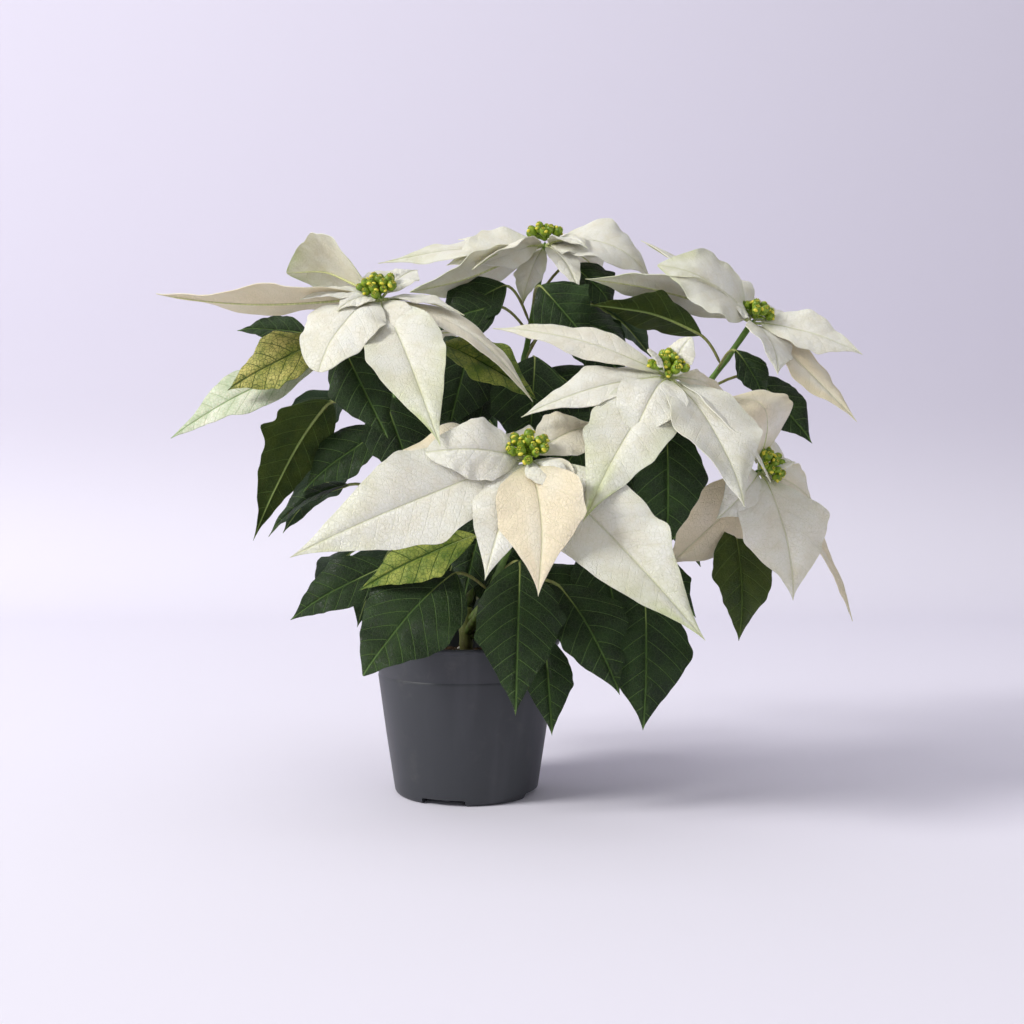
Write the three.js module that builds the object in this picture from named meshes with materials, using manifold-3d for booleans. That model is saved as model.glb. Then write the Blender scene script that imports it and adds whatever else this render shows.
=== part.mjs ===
// A potted poinsettia with cream-white bracts, standing in a round nursery pot.
// Millimetres, +Z up. The origin is the middle of the pot's underside, and -Y is the plant's front.
// The pot, the compost, the stems, the flower clusters, the whorls of bracts and the leaves are
// separate solids that grow out of each other or rest on each other with a small gap.
import * as THREE from "three";
import { mergeVertices } from "three/addons/utils/BufferGeometryUtils.js";
import Module from "manifold-3d";

const wasm = await Module();
wasm.setup();

// Driving dimensions.
const GAP = 0.3; // kept between neighbours that touch
const POT = {
  height: 100,
  rimRadius: 61.2,
  bandHeight: 22,
  baseRadius: 47,
  footWidth: 6,
  wall: 1.6,
  floorRise: 4,
  padRadius: 12,
};
const NOTCH = { width: 29, height: 4, count: 4, firstAngle: -107 };
const DRAIN = { radius: 3.5, ring: 27, count: 6 };
const COMPOST = { top: 88, bottom: 6.2, crown: 2 };
const MAIN_STEM = { radius: 5, topRadius: 4.2, top: 122 };
const BRANCH_RADIUS = 2.6;
const PETIOLE_RADIUS = 1.1;
const HUB = { radius: 8, height: 5 };
const CLUSTER = { radius: 12, footRadius: 4, height: 13, sides: 8 };
const BRACT_THICKNESS = 1.0;
const BRACT_FOOT = 5; // how far from the middle of its whorl a bract starts
const LEAF_THICKNESS = 1.1;
const WIDEST = 0.42; // where along its length a blade is widest
const TAPER = 0.137; // how far the pot's wall leans out for each millimetre of height

const MATERIALS = {
  pot: [0x3f4147, 0.45],
  compost: [0x2a1c12, 0.95],
  stem: [0x5d7a2c, 0.6],
  leaf: [0x1e3d22, 0.55],
  bract: [0xf1eee2, 0.6],
  cluster: [0x7d9a1c, 0.5],
};

// Each branch leaves the main stem at a height, bends through a point and ends under its head.
// head: the middle of the whorl; look: the way the flower faces.
// A bract's row is its tip measured from the head, then its width, how far its midrib bows
// towards its upper side, how far it is turned about its midrib and how far it is folded (degrees).
const HEADS = [
  {
    start: 112,
    bend: [-48, -22, 190],
    head: [-52, -40, 318],
    look: [-0.15, -0.6, 0.78],
    bracts: [
      [-140, 0, 2, 46, -5, 52, 10],
      [-66, 45, 22, 70, 8, 75, 5],
      [-48, -15, -4, 16, 4, 0, 10],
      [-24, -22, -12, 22, 4, 0, 10],
      [-32, -45, -51, 52, 8, 0, 8],
      [11, -40, -42, 32, 6, 0, 10],
      [42, -80, -96, 48, 12, 0, 12],
      [95, -20, -67, 27, 14, -20, 8],
      [53, -10, -13, 20, 4, -20, 10],
      [-6, 25, 20, 24, 4, 0, 5],
      [22, 22, 20, 28, 4, 0, 5],
    ],
  },
  {
    start: 120,
    bend: [28, 40, 220],
    head: [53, 60, 370],
    look: [0, -0.15, 1],
    bracts: [
      [-68, -20, -19, 44, 5, -40, 8],
      [-62, 30, 8, 38, 3, -10, 5],
      [-116, -10, -16, 42, 2, -20, 8],
      [-92, -38, -40, 52, -4, 38, 8],
      [76, 0, -30, 50, 19, 35, 8],
      [41, -20, -16, 28, 6, 30, 8],
      [22, -40, -41, 22, 6, 0, 10],
      [-30, 70, -14, 42, 8, 0, 8],
      [45, 70, -14, 42, 8, 0, 8],
    ],
  },
  {
    start: 106,
    bend: [120, 10, 205],
    head: [193, 30, 312],
    look: [0.45, -0.2, 0.87],
    bracts: [
      [-75, 10, 56, 32, 4, -10, 8],
      [-67, -20, 34, 58, 10, -38, 8],
      [-38, 30, 45, 56, 6, -20, 5],
      [-20, -12, 9, 22, 4, -20, 5],
      [72, -10, -24, 38, 5, 40, 8],
      [63, -30, -70, 36, 2, 25, 8],
      [9, -40, -40, 40, 6, 0, 8],
      [-115, -20, 25, 42, 6, 38, 8],
      [30, 60, 10, 40, 8, 0, 8],
      [-25, 70, 30, 40, 8, 0, 8],
    ],
  },
  {
    start: 110,
    bend: [70, -40, 180],
    head: [124, -70, 267],
    look: [0.1, -0.6, 0.78],
    bracts: [
      [-106, 20, 30, 30, 8, -5, 8],
      [-89, -25, -27, 32, 6, 0, 8],
      [-55, -65, -87, 50, 12, 0, 10],
      [-25, -40, -39, 44, 8, 0, 10],
      [37, -50, -79, 58, 10, -10, 12],
      [56, -30, -65, 28, 8, -30, 8],
      [39, 10, -14, 22, 4, 0, 8],
      [-14, -8, 4, 16, 3, 0, -10],
      [14, 4, 14, 18, 3, 0, -10],
      [-30, 60, 0, 40, 8, 0, 8],
      [25, 62, -5, 40, 8, 0, 8],
    ],
  },
  {
    start: 103,
    bend: [30, -58, 150],
    head: [39, -100, 217],
    look: [-0.05, -0.7, 0.7],
    bracts: [
      [-133, -30, -57, 54, 8, -25, 10],
      [-58, -15, 2, 38, 6, -25, 8],
      [-91, 30, -6, 40, 10, -10, 8],
      [-24, -40, -69, 38, 8, 0, 10],
      [5, -50, -77, 52, 10, 15, 16],
      [20, -30, -22, 22, 4, 0, 8],
      [96, -50, -101, 54, 12, 15, 12],
      [44, 30, 20, 34, 6, 10, 8],
      [30, -22, -30, 26, 4, 20, 8],
      [-20, 40, 10, 34, 6, 0, 8],
    ],
  },
  {
    start: 100,
    bend: [105, -25, 140],
    head: [186, -40, 210],
    look: [0.7, -0.45, 0.5],
    bracts: [
      [-31, 8, 43, 60, 30, -20, 5],
      [13, -32, -79, 62, 10, 35, 8],
      [60, 10, -96, 26, 8, 0, 8],
      [-57, 20, -61, 54, 6, 15, 8],
      [-34, -35, -30, 34, 6, 0, 8],
      [20, -5, 5, 12, 2, 0, 0],
      [36, 15, -22, 32, 5, 20, 5],
      [25, 60, 5, 38, 8, 0, 8],
    ],
  },
  {
    start: 108,
    bend: [-45, 50, 170],
    head: [-60, 105, 300],
    look: [-0.3, 0.6, 0.75],
    bracts: [
      [-80, 40, 10, 44, 8, 0, 8],
      [-22, 80, -40, 44, 8, 0, 8],
      [28, 78, -45, 46, 8, 0, 8],
      [62, 45, -35, 42, 8, 0, 8],
      [55, -5, 12, 36, 6, 0, 8],
      [-35, 5, 26, 30, 6, 0, 8],
      [8, -10, 26, 30, 6, 0, 8],
    ],
  },
  {
    start: 101,
    bend: [60, 70, 150],
    head: [100, 125, 240],
    look: [0.35, 0.75, 0.55],
    bracts: [
      [-60, 40, -30, 42, 8, 0, 8],
      [-20, 70, -70, 46, 8, 0, 8],
      [30, 75, -70, 44, 8, 0, 8],
      [82, 35, -45, 46, 8, 0, 8],
      [60, -10, -5, 36, 6, 0, 8],
      [2, -5, 34, 30, 6, 0, 8],
      [-42, -5, 18, 30, 6, 0, 8],
    ],
  },
];

// Each leaf's row: its name, the branch it grows from and where along it (0 to 1), the foot and
// the tip of its blade, its width, the bow of its midrib, its fold, and the way its upper side looks.
const LEAVES = [
  ["leaf_left_small", 0, 0.86, [-105, 20, 301], [-154, 20, 304], 26, 4, 8, [-0.2, -0.7, 0.7]],
  ["leaf_left_mottled", 0, 0.84, [-92, -20, 292], [-152, -20, 261], 42, 4, 8, [-0.3, -0.9, 0.4]],
  ["leaf_left_pale", 0, 0.74, [-90, 0, 285], [-194, 0, 231], 42, 6, 10, [-0.2, -0.7, 0.6]],
  ["leaf_left_hanging", 0, 0.64, [-85, -30, 254], [-134, -30, 165], 44, 10, 8, [-0.5, 0.8, 0.4]],
  ["leaf_under_head_1", 0, 0.8, [-74, -58, 288], [-44, -72, 228], 38, 4, 10, [-0.2, -0.9, 0.3]],
  ["leaf_left_middle", 0, 0.5, [-51, -20, 236], [-104, -20, 196], 36, 6, 10, [-0.1, -0.8, 0.5]],
  ["leaf_left_edge", 0, 0.42, [-75, -10, 201], [-128, -10, 167], 22, 8, 20, [0, -0.5, 0.9]],
  ["leaf_low_left", 0, 0.2, [-46, -40, 151], [-109, -40, 116], 36, 6, 10, [-0.1, -0.8, 0.5]],
  ["leaf_front_mottled", 4, 0.55, [8, -60, 170], [-64, -60, 136], 32, 5, 8, [-0.2, -0.8, 0.5]],
  ["leaf_over_rim", 4, 0.3, [-5, -52, 147], [-58, -88, 88], 68, 8, 6, [-0.3, -0.8, 0.4]],
  ["leaf_front_centre", 4, 0.4, [35, -62, 155], [32, -98, 66], 50, 12, 8, [0, -0.9, 0.4]],
  ["leaf_front_right", 4, 0.34, [58, -58, 140], [94, -84, 76], 46, 10, 8, [0.2, -0.9, 0.4]],
  ["leaf_front_low", 4, 0.2, [50, -55, 108], [54, -75, 50], 28, 6, 10, [0, -0.9, 0.3]],
  ["leaf_right_front", 5, 0.5, [111, -58, 137], [108, -80, 54], 54, 8, 6, [0.1, -0.9, 0.3]],
  ["leaf_right_hanging", 5, 0.82, [170, -28, 178], [173, -34, 102], 42, 8, 10, [0.3, -0.9, 0.3]],
  ["leaf_under_head_4", 3, 0.84, [123, -70, 240], [122, -80, 160], 42, 6, 10, [0, -0.95, 0.2]],
  ["leaf_under_head_1_right", 0, 0.88, [-15, -45, 288], [46, -45, 253], 36, 6, 14, [0.2, -0.7, 0.6]],
  ["leaf_under_head_2", 1, 0.84, [49, 25, 335], [83, 25, 295], 42, 6, 8, [-0.3, -0.9, 0.3]],
  ["leaf_under_head_3", 2, 0.86, [157, 20, 301], [82, 20, 321], 36, 8, 8, [0, 0.5, 0.8]],
  ["leaf_right_upper", 2, 0.84, [176, 0, 289], [196, 0, 252], 26, 4, 10, [0.5, -0.8, 0.3]],
  ["leaf_right_behind", 2, 0.76, [195, 40, 275], [236, 40, 229], 36, 4, 8, [0.3, -0.9, 0.3]],
  ["leaf_middle_left", 1, 0.62, [5, 10, 300], [-12, 5, 235], 52, 6, 8, [0, -0.95, 0.3]],
  ["leaf_middle_right", 1, 0.7, [62, 35, 315], [112, 30, 290], 40, 6, 8, [0, -0.6, 0.8]],
  ["leaf_middle", 1, 0.52, [45, 0, 285], [40, -5, 215], 54, 6, 8, [0.1, -0.95, 0.3]],
  ["leaf_under_head_2_left", 1, 0.78, [20, 30, 322], [-20, 25, 308], 38, 4, 8, [0, -0.9, 0.4]],
  ["leaf_right_low", 5, 0.66, [112, -30, 160], [146, -35, 117], 26, 4, 8, [0.3, -0.9, 0.3]],
  ["leaf_back_left", 6, 0.7, [-80, 95, 220], [-140, 110, 165], 50, 8, 8, [-0.5, 0.4, 0.8]],
  ["leaf_back_left_low", 6, 0.4, [-50, 75, 165], [-85, 110, 95], 50, 8, 8, [-0.4, 0.8, 0.5]],
  ["leaf_back_middle", 6, 0.5, [-5, 95, 190], [0, 140, 125], 52, 8, 8, [0, 0.8, 0.5]],
  ["leaf_back_low", 7, 0.35, [35, 75, 140], [40, 115, 75], 52, 8, 8, [0, 0.8, 0.5]],
  ["leaf_back_right", 7, 0.7, [120, 95, 200], [170, 110, 140], 50, 8, 8, [0.5, 0.5, 0.7]],
  ["leaf_back_right_low", 5, 0.45, [100, 30, 150], [145, 65, 95], 50, 8, 8, [0.5, 0.6, 0.6]],
];

const vec = (xyz) => new THREE.Vector3(...xyz);

// A closed solid from a three.js geometry, with the vertices along its seams merged.
function toSolid(geometry) {
  const bare = new THREE.BufferGeometry();
  bare.setAttribute("position", geometry.getAttribute("position"));
  bare.setIndex(geometry.index);
  const merged = mergeVertices(bare, 1e-4);
  const triVerts = [];
  for (let i = 0; i < merged.index.count; i += 3) {
    const corners = [0, 1, 2].map((k) => merged.index.getX(i + k));
    if (new Set(corners).size === 3) triVerts.push(...corners);
  }
  return new wasm.Manifold(
    new wasm.Mesh({
      numProp: 3,
      vertProperties: merged.getAttribute("position").array,
      triVerts: new Uint32Array(triVerts),
    }),
  );
}

function toGeometry(solid) {
  const mesh = solid.getMesh();
  const geometry = new THREE.BufferGeometry();
  geometry.setAttribute("position", new THREE.BufferAttribute(mesh.vertProperties, 3));
  geometry.setIndex(new THREE.BufferAttribute(mesh.triVerts, 1));
  geometry.computeVertexNormals();
  return geometry;
}

const join = (solids) => solids.reduce((sum, solid) => sum.add(solid));

// A ring or disc turned about Z from a profile of [radius, height] points.
function turned(profile, segments) {
  const points = profile.map(([radius, height]) => new THREE.Vector2(radius, height));
  return new THREE.LatheGeometry(points, segments).rotateX(Math.PI / 2);
}

// A round rod along a curve, closed at both ends.
function rod(curve, radius, sides, steps) {
  const section = new THREE.Shape();
  for (let i = 0; i < sides; i++) {
    const angle = (2 * Math.PI * i) / sides;
    const corner = [radius * Math.cos(angle), radius * Math.sin(angle)];
    if (i === 0) section.moveTo(...corner);
    else section.lineTo(...corner);
  }
  section.closePath();
  return new THREE.ExtrudeGeometry(section, { steps, extrudePath: curve });
}

// The direction that a blade's upper side faces: as near `look` as square to the midrib allows,
// then turned about the midrib.
function upperSide({ foot, tip, look, turn }) {
  const along = tip.clone().sub(foot).normalize();
  const up = look.clone().addScaledVector(along, -look.dot(along)).normalize();
  return up.applyAxisAngle(along, THREE.MathUtils.degToRad(turn));
}

const bowAt = (bow, k) => bow * 4 * k * (1 - k);

// A leaf or bract blade: a four-sided sphere drawn out along a bowed midrib. Its two side corners
// follow the outline, which is widest at WIDEST and pointed at both ends, and its other two
// corners lie on the midrib, half the thickness above and below. `grow` adds room all round.
function blade(shape, grow = 0) {
  const { foot, tip, width, thickness, bow, fold, stations } = shape;
  const along = tip.clone().sub(foot).normalize();
  const up = upperSide(shape);
  const side = new THREE.Vector3().crossVectors(along, up);
  const start = foot.clone().addScaledVector(along, -grow);
  const reach = tip.clone().sub(foot).addScaledVector(along, 2 * grow);
  const foldAngle = THREE.MathUtils.degToRad(fold);
  const power = Math.log(0.5) / Math.log(WIDEST);
  const geometry = new THREE.SphereGeometry(1, 4, stations);
  const position = geometry.getAttribute("position");
  const uv = geometry.getAttribute("uv");
  for (let i = 0; i < position.count; i++) {
    const k = 1 - uv.getY(i);
    const corner = Math.round(4 * uv.getX(i)) % 4;
    const atEnd = k < 1e-6 || k > 1 - 1e-6;
    const swell = atEnd ? 0 : Math.sin(Math.PI * k ** power) ** 1.1;
    const reachOut = (width / 2) * swell + (atEnd ? 0 : grow);
    const across = [1, 0, -1, 0][corner] * reachOut;
    const depth = [0, 1, 0, -1][corner] * (atEnd ? 0 : thickness / 2 + grow);
    const point = start.clone().addScaledVector(reach, k);
    point.addScaledVector(side, across * Math.cos(foldAngle));
    point.addScaledVector(up, bowAt(bow, k) + Math.abs(across) * Math.sin(foldAngle) + depth);
    position.setXYZ(i, point.x, point.y, point.z);
  }
  return toSolid(geometry);
}

const group = new THREE.Group();
const placed = []; // what each finished piece keeps clear of its neighbours

// Adds one named piece. It is cut back wherever it would come within GAP of an earlier piece,
// and of what the cut leaves only the largest body is kept.
function addPiece(name, kind, solid, room) {
  let piece = solid;
  const box = room.boundingBox();
  for (const other of placed) {
    const below = [0, 1, 2].some((axis) => other.box.max[axis] < box.min[axis]);
    const above = [0, 1, 2].some((axis) => other.box.min[axis] > box.max[axis]);
    if (!below && !above) piece = piece.subtract(other.room);
  }
  const bodies = piece.decompose().sort((a, b) => b.volume() - a.volume());
  const [color, roughness] = MATERIALS[kind];
  const material = new THREE.MeshStandardMaterial({ color, roughness, metalness: 0 });
  const mesh = new THREE.Mesh(toGeometry(bodies[0]), material);
  mesh.name = name;
  group.add(mesh);
  placed.push({ room, box });
}

// The pot: a thin tapered wall with a deeper band under its rolled rim, standing on a foot ring.
// The floor is raised inside the ring, apart from a pad in the middle, and it drains through
// round holes and out under the notches in the ring.
const bandFoot = POT.height - POT.bandHeight;
const bandInner = POT.baseRadius + TAPER * bandFoot - POT.wall;
const potProfile = [
  [0, 0],
  [POT.padRadius, 0],
  [POT.padRadius, POT.floorRise],
  [POT.baseRadius - 3 - POT.footWidth, POT.floorRise],
  [POT.baseRadius - 3 - POT.footWidth, 0],
  [POT.baseRadius - 3, 0],
  [POT.baseRadius - 0.8, 1.4],
  [POT.baseRadius, 4],
  [POT.baseRadius + TAPER * (bandFoot - 1), bandFoot - 1],
  [POT.rimRadius - 3.8, bandFoot + 1],
  [POT.rimRadius - 0.8, POT.height - 3],
  [POT.rimRadius, POT.height - 2.2],
  [POT.rimRadius, POT.height - 0.6],
  [POT.rimRadius - 0.6, POT.height],
  [POT.rimRadius - 2, POT.height],
  [POT.rimRadius - 2.6, POT.height - 1],
  [POT.rimRadius - 3.8 - POT.wall, bandFoot + 1.5],
  [bandInner, bandFoot - 1],
  [POT.baseRadius - POT.wall + 0.3, POT.floorRise + 2.4],
  [POT.baseRadius - POT.wall - 1.2, POT.floorRise + POT.wall],
  [0, POT.floorRise + POT.wall],
];
const notches = [];
for (let i = 0; i < NOTCH.count; i++) {
  const notch = new THREE.BoxGeometry(POT.footWidth + 12, NOTCH.width, 2 * NOTCH.height);
  notch.translate(POT.baseRadius - POT.footWidth / 2 - 1, 0, 0);
  notch.rotateZ(THREE.MathUtils.degToRad(NOTCH.firstAngle + (360 / NOTCH.count) * i));
  notches.push(toSolid(notch));
}
const drains = [];
for (let i = 0; i < DRAIN.count; i++) {
  const drain = new THREE.CylinderGeometry(DRAIN.radius, DRAIN.radius, 4 * POT.floorRise, 10);
  drain.rotateX(Math.PI / 2).translate(DRAIN.ring, 0, POT.floorRise);
  drain.rotateZ((2 * Math.PI * i) / DRAIN.count);
  drains.push(toSolid(drain));
}
const potBody = toSolid(turned(potProfile, 36));
const pot = potBody.subtract(join(notches)).subtract(join(drains));
addPiece("pot", "pot", pot, potBody);

// The compost fills the pot to a little below the rim and is slightly crowned.
function compostAt(gap) {
  const side = bandInner - GAP + gap;
  const profile = [
    [0, COMPOST.bottom - gap],
    [POT.baseRadius - POT.wall - 1.6 + gap, COMPOST.bottom - gap],
    [side - 0.2, bandFoot - 2],
    [side, COMPOST.top - 3 + gap],
    [side - 3, COMPOST.top + gap],
    [side / 2, COMPOST.top + COMPOST.crown / 2 + gap],
    [0, COMPOST.top + COMPOST.crown + gap],
  ];
  return toSolid(turned(profile, 24));
}
addPiece("compost", "compost", compostAt(0), compostAt(GAP));

// The main stem rises out of the compost and was cut off short, so that it branched.
function mainStemAt(gap) {
  const base = COMPOST.top + COMPOST.crown + GAP - gap;
  const height = MAIN_STEM.top - base + gap;
  const { topRadius, radius } = MAIN_STEM;
  const stem = new THREE.CylinderGeometry(topRadius + gap, radius + gap, height, 10);
  return toSolid(stem.rotateX(Math.PI / 2).translate(0, 0, base + height / 2));
}
addPiece("main_stem", "stem", mainStemAt(0), mainStemAt(GAP));

const branches = HEADS.map(({ start, bend, head, look }) => {
  const under = vec(head).addScaledVector(vec(look).normalize(), -HUB.height / 2 - GAP);
  return new THREE.QuadraticBezierCurve3(new THREE.Vector3(0, 0, start), vec(bend), under);
});
branches.forEach((curve, i) => {
  const at = (gap) => toSolid(rod(curve, BRANCH_RADIUS + gap, 6, 8));
  addPiece(`branch_${i + 1}`, "stem", at(0), at(GAP));
});

// A drum lying along a flower's axis, its middle `rise` above the middle of the whorl.
function drum({ head, look }, radius, footRadius, height, rise, sides) {
  const axis = vec(look).normalize();
  const geometry = new THREE.CylinderGeometry(radius, footRadius, height, sides);
  const turn = new THREE.Quaternion().setFromUnitVectors(new THREE.Vector3(0, 1, 0), axis);
  const middle = vec(head).addScaledVector(axis, rise);
  return geometry.applyQuaternion(turn).translate(...middle);
}

// The whorl of bracts round each cluster, which grow out of one short piece of stem.
HEADS.forEach((flower, i) => {
  const at = (gap) => {
    const hub = toSolid(drum(flower, HUB.radius + gap, HUB.radius + gap, HUB.height + 2 * gap, 0, 8));
    const blades = flower.bracts.map(([dx, dy, dz, width, bow, turn, fold]) => {
      const tip = vec(flower.head).add(new THREE.Vector3(dx, dy, dz));
      const foot = vec(flower.head).lerp(tip, BRACT_FOOT / Math.hypot(dx, dy, dz));
      const look = vec(flower.look);
      const thickness = BRACT_THICKNESS;
      return blade({ foot, tip, width, thickness, bow, turn, fold, look, stations: 5 }, gap);
    });
    return join([hub, ...blades]);
  };
  addPiece(`bracts_${i + 1}`, "bract", at(0), at(GAP));
});

// The cluster of small green cups in the middle of each whorl.
HEADS.forEach((flower, i) => {
  const rise = HUB.height / 2 + GAP + CLUSTER.height / 2;
  const at = (gap) => {
    const { radius, footRadius, height, sides } = CLUSTER;
    return toSolid(drum(flower, radius + gap, footRadius + gap, height + 2 * gap, rise, sides));
  };
  addPiece(`cluster_${i + 1}`, "cluster", at(0), at(GAP));
});

// The leaves, each with its stalk from the branch to the foot of its blade.
const STALK_END = 0.08; // how far along the blade its stalk runs
const STALK_SWEEP = 0.22; // how far before the blade its stalk lines up with it
for (const [name, branch, t, footAt, tipAt, width, bow, fold, lookAt] of LEAVES) {
  const foot = vec(footAt);
  const tip = vec(tipAt);
  const thickness = LEAF_THICKNESS;
  const shape = { foot, tip, width, thickness, bow, turn: 0, fold, look: vec(lookAt), stations: 7 };
  const end = foot.clone().lerp(tip, STALK_END);
  end.addScaledVector(upperSide(shape), bowAt(bow, STALK_END));
  const from = branches[branch].getPoint(t);
  const away = end.clone().sub(foot).normalize();
  const elbow = foot.clone().addScaledVector(away, -STALK_SWEEP * from.distanceTo(foot));
  const stalk = new THREE.QuadraticBezierCurve3(from, elbow, end);
  const at = (gap) => blade(shape, gap).add(toSolid(rod(stalk, PETIOLE_RADIUS + gap, 5, 5)));
  addPiece(name, "leaf", at(0), at(GAP));
}

export default group;
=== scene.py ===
# A white poinsettia in a round nursery pot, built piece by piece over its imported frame.
# Rows of sizes are in millimetres; MM turns them into metres. -Y is the front, +Z is up.
import math
import random

import bmesh
import bpy
from mathutils import Matrix, Quaternion, Vector, noise


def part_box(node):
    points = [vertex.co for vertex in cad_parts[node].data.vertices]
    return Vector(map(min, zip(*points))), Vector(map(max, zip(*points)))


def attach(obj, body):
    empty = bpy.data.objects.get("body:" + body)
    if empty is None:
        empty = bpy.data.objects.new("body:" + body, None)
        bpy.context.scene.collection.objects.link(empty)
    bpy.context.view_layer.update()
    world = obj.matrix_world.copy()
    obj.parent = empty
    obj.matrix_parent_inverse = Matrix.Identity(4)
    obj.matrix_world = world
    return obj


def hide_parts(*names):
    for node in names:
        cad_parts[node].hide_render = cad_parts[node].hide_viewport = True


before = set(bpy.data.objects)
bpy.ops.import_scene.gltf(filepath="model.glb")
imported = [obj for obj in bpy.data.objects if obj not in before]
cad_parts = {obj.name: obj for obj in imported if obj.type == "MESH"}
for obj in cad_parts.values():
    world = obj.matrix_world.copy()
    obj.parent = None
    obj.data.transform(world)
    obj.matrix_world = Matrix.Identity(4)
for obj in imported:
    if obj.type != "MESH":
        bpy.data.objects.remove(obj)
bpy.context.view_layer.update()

MM = 0.001

# ---------------------------------------------------------------------------------------------
# Camera. It stands at table height, a little below the top of the plant, and looks slightly down.
# ---------------------------------------------------------------------------------------------
camera_data = bpy.data.cameras.new("camera")
camera_data.lens = 45.6
camera = bpy.data.objects.new("camera", camera_data)
camera.location = (0.030, -0.850, 0.200)
look_down = 1.15
camera.rotation_euler = (math.radians(90 - look_down), 0, 0)
bpy.context.scene.collection.objects.link(camera)
bpy.context.scene.camera = camera
# The plain transform keeps the white bracts white.
bpy.context.scene.view_settings.view_transform = "Standard"

# ---------------------------------------------------------------------------------------------
# Pot. A thin polypropylene nursery pot, injection moulded in one shot: a tapered wall with a
# deeper band and a rolled lip at the top, standing on a notched foot ring with a raised floor.
# ---------------------------------------------------------------------------------------------


def node(tree, kind, sockets=None, **settings):
    """A shader node. A socket given another node's output is linked, any other value is set."""
    made = tree.nodes.new(kind)
    for key, value in settings.items():
        setattr(made, key, value)
    for key, value in (sockets or {}).items():
        if isinstance(value, bpy.types.NodeSocket):
            tree.links.new(value, made.inputs[key])
        else:
            made.inputs[key].default_value = value
    return made


def new_material(name, sockets):
    """A Principled material with plain numbers on its sockets. Gives the material, tree, shader."""
    material = bpy.data.materials.new(name)
    material.use_nodes = True
    tree = material.node_tree
    shader = tree.nodes["Principled BSDF"]
    for key, value in sockets.items():
        shader.inputs[key].default_value = value
    return material, tree, shader


def maths(tree, operation, a, b=0.0):
    return node(tree, "ShaderNodeMath", {0: a, 1: b}, operation=operation).outputs[0]


def ramp(tree, value, low, high, to_low=0.0, to_high=1.0):
    """A smooth step of value between low and high."""
    sockets = {"Value": value, "From Min": low, "From Max": high, "To Min": to_low, "To Max": to_high}
    made = node(tree, "ShaderNodeMapRange", sockets, interpolation_type="SMOOTHSTEP")
    return made.outputs["Result"]


def blend(tree, factor, a, b):
    """Colour a turning into colour b as the factor goes from 0 to 1."""
    made = node(tree, "ShaderNodeMix", data_type="RGBA")
    for index, value in ((0, factor), (6, a), (7, b)):
        if isinstance(value, bpy.types.NodeSocket):
            tree.links.new(value, made.inputs[index])
        elif index:
            made.inputs[index].default_value = (*value, 1.0)
        else:
            made.inputs[index].default_value = value
    return made.outputs[2]


def object_noise(tree, scale, detail, roughness=0.55, stretch=(1, 1, 1)):
    where = node(tree, "ShaderNodeTexCoord").outputs["Object"]
    spread = node(tree, "ShaderNodeMapping", {"Vector": where, "Scale": stretch}).outputs[0]
    sockets = {"Vector": spread, "Scale": scale, "Detail": detail, "Roughness": roughness}
    return node(tree, "ShaderNodeTexNoise", sockets).outputs["Fac"]


def bump(tree, shader, height, distance, strength=1.0, before=None):
    sockets = {"Height": height, "Distance": distance, "Strength": strength}
    if before is not None:
        sockets["Normal"] = before
    normal = node(tree, "ShaderNodeBump", sockets).outputs[0]
    tree.links.new(normal, shader.inputs["Normal"])
    return normal


def finish_piece(bm, name, materials, replaced=(), slot=None, sharp=50):
    """Turns a bmesh into a named piece that rides on the root body."""
    mesh = bpy.data.meshes.new(name)
    for edge in bm.edges:
        edge.smooth = not (edge.is_manifold and edge.calc_face_angle(0) > math.radians(sharp))
    for face in bm.faces:
        face.smooth = True
    bm.to_mesh(mesh)
    bm.free()
    for material in materials:
        mesh.materials.append(material)
    piece = bpy.data.objects.new(name, mesh)
    bpy.context.scene.collection.objects.link(piece)
    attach(piece, "root")
    if replaced:
        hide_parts(*replaced)
    return piece


def pot_plastic():
    """Slate-grey plastic: moulding grain, faint flow streaks, pale dust and water marks."""
    material, tree, shader = new_material("pot_plastic", {"Roughness": 0.45, "IOR": 1.49})
    cloud = object_noise(tree, 14, 4)
    streak = object_noise(tree, 60, 3, stretch=(1, 1, 0.08))
    grain = object_noise(tree, 900, 2)
    dust = ramp(tree, object_noise(tree, 45, 6, 0.7), 0.56, 0.8)
    body = blend(tree, cloud, (0.028, 0.031, 0.036), (0.040, 0.044, 0.051))
    worn = blend(tree, ramp(tree, streak, 0.5, 0.75, 0, 0.3), body, (0.072, 0.076, 0.085))
    marked = blend(tree, maths(tree, "MULTIPLY", dust, 0.22), worn, (0.16, 0.155, 0.145))
    tree.links.new(marked, shader.inputs["Base Color"])
    gloss = ramp(tree, cloud, 0.3, 0.7, 0.40, 0.54)
    dusty = maths(tree, "MULTIPLY", dust, 0.2)
    tree.links.new(maths(tree, "ADD", gloss, dusty), shader.inputs["Roughness"])
    coarse = bump(tree, shader, streak, 0.0002, 0.35)
    bump(tree, shader, grain, 0.00006, 0.5, coarse)
    return material


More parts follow.
